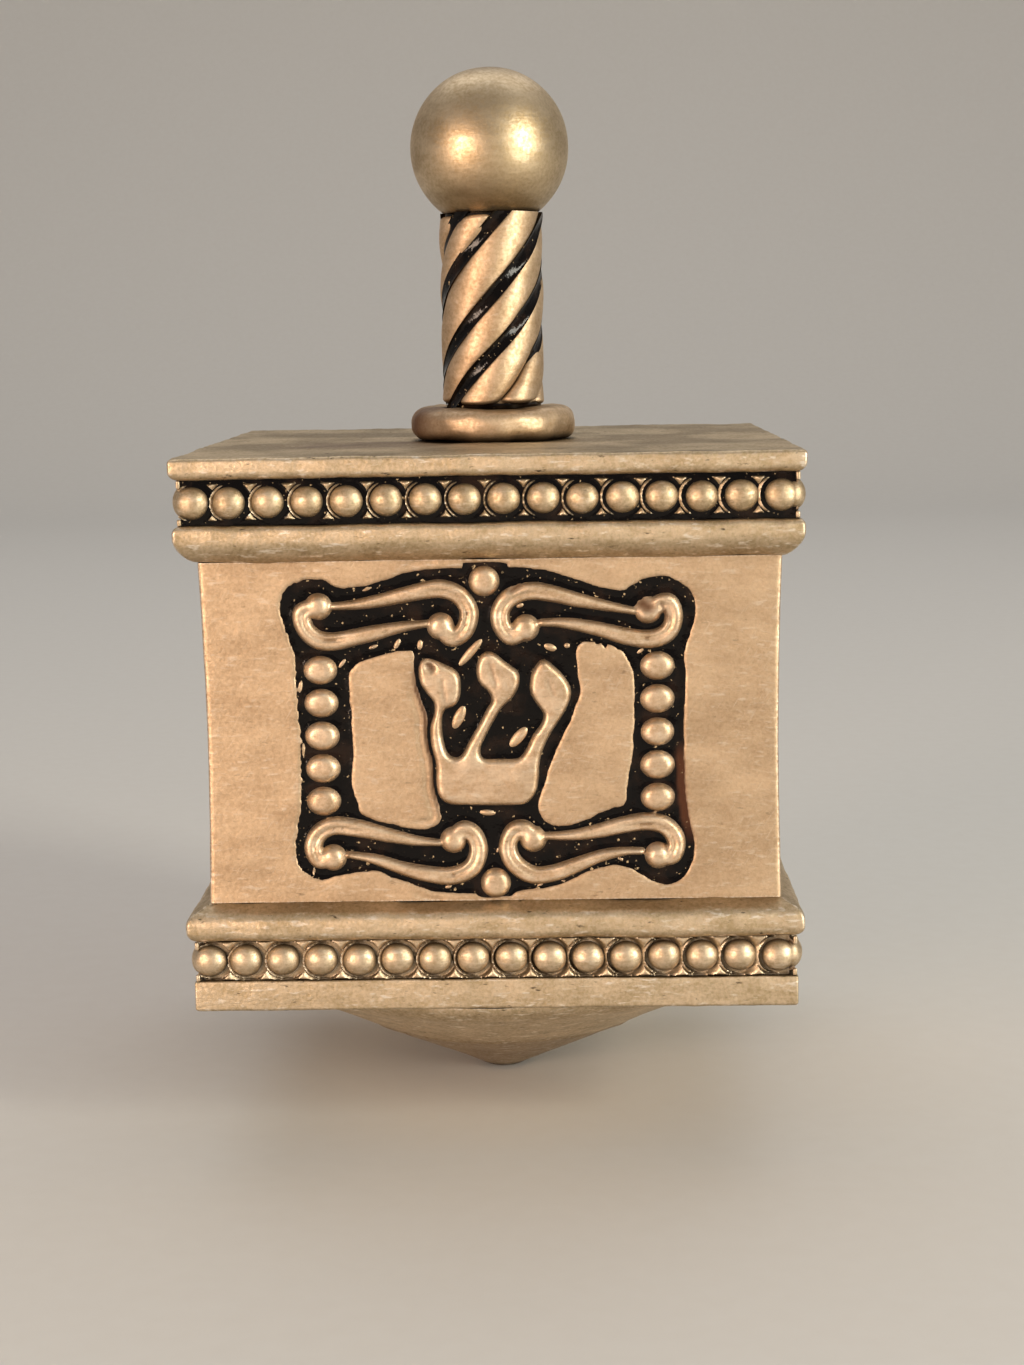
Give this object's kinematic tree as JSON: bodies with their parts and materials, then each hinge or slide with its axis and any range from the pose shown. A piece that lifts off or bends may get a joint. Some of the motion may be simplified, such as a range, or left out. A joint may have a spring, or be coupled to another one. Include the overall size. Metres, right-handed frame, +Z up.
{
  "type": "dreidel",
  "caption": "Four-sided metal spinning top on a shallow point, with beaded bands, a raised letter in a scroll frame on each side, and a twisted handle with a ball.",
  "frame": {"origin": "the spinning tip, on the spin axis, which is the lowest point", "axes": "+Z up the spin axis to the ball, -Y out of the side with the letter shin, +X out of the side with the letter hei"},
  "size_m": [0.044, 0.044, 0.0786],
  "materials": {
    "satin_metal": "satin white metal with a warm lacquer",
    "antique_metal": "antiqued white metal, mottled satin with worn bright edges",
    "panel_metal": "antiqued white metal, flat and finely speckled",
    "relief_metal": "antiqued white metal, rubbed bright on its high spots",
    "bead_metal": "antiqued white metal, rubbed beads over darker sockets",
    "black_enamel": "glossy black cold enamel",
    "steel": "plain steel, hidden"
  },
  "bodies": {
    "root": {"ball_finial": "satin_metal", "twisted_stem": "satin_metal", "stem_enamel": "black_enamel", "stem_collar": "satin_metal", "spindle_rod": "steel", "handle_washer": "steel", "handle_nut": "steel", "cap_plate": "antique_metal", "cap_beading_front": "bead_metal", "cap_beading_right": "bead_metal", "cap_beading_back": "bead_metal", "cap_beading_left": "bead_metal", "cap_bead_enamel": "black_enamel", "cap_moulding_front": "antique_metal", "cap_moulding_right": "antique_metal", "cap_moulding_back": "antique_metal", "cap_moulding_left": "antique_metal", "panel_front": "panel_metal", "panel_right": "panel_metal", "panel_back": "panel_metal", "panel_left": "panel_metal", "scroll_frame_front": "relief_metal", "scroll_frame_right": "relief_metal", "scroll_frame_back": "relief_metal", "scroll_frame_left": "relief_metal", "letter_shin_front": "relief_metal", "letter_hei_right": "relief_metal", "letter_gimel_back": "relief_metal", "letter_nun_left": "relief_metal", "enamel_front": "black_enamel", "enamel_right": "black_enamel", "enamel_back": "black_enamel", "enamel_left": "black_enamel", "base_moulding_front": "antique_metal", "base_moulding_right": "antique_metal", "base_moulding_back": "antique_metal", "base_moulding_left": "antique_metal", "base_beading_front": "bead_metal", "base_beading_right": "bead_metal", "base_beading_back": "bead_metal", "base_beading_left": "bead_metal", "base_plate": "antique_metal", "point_cone": "antique_metal"}
  },
  "joints": []
}
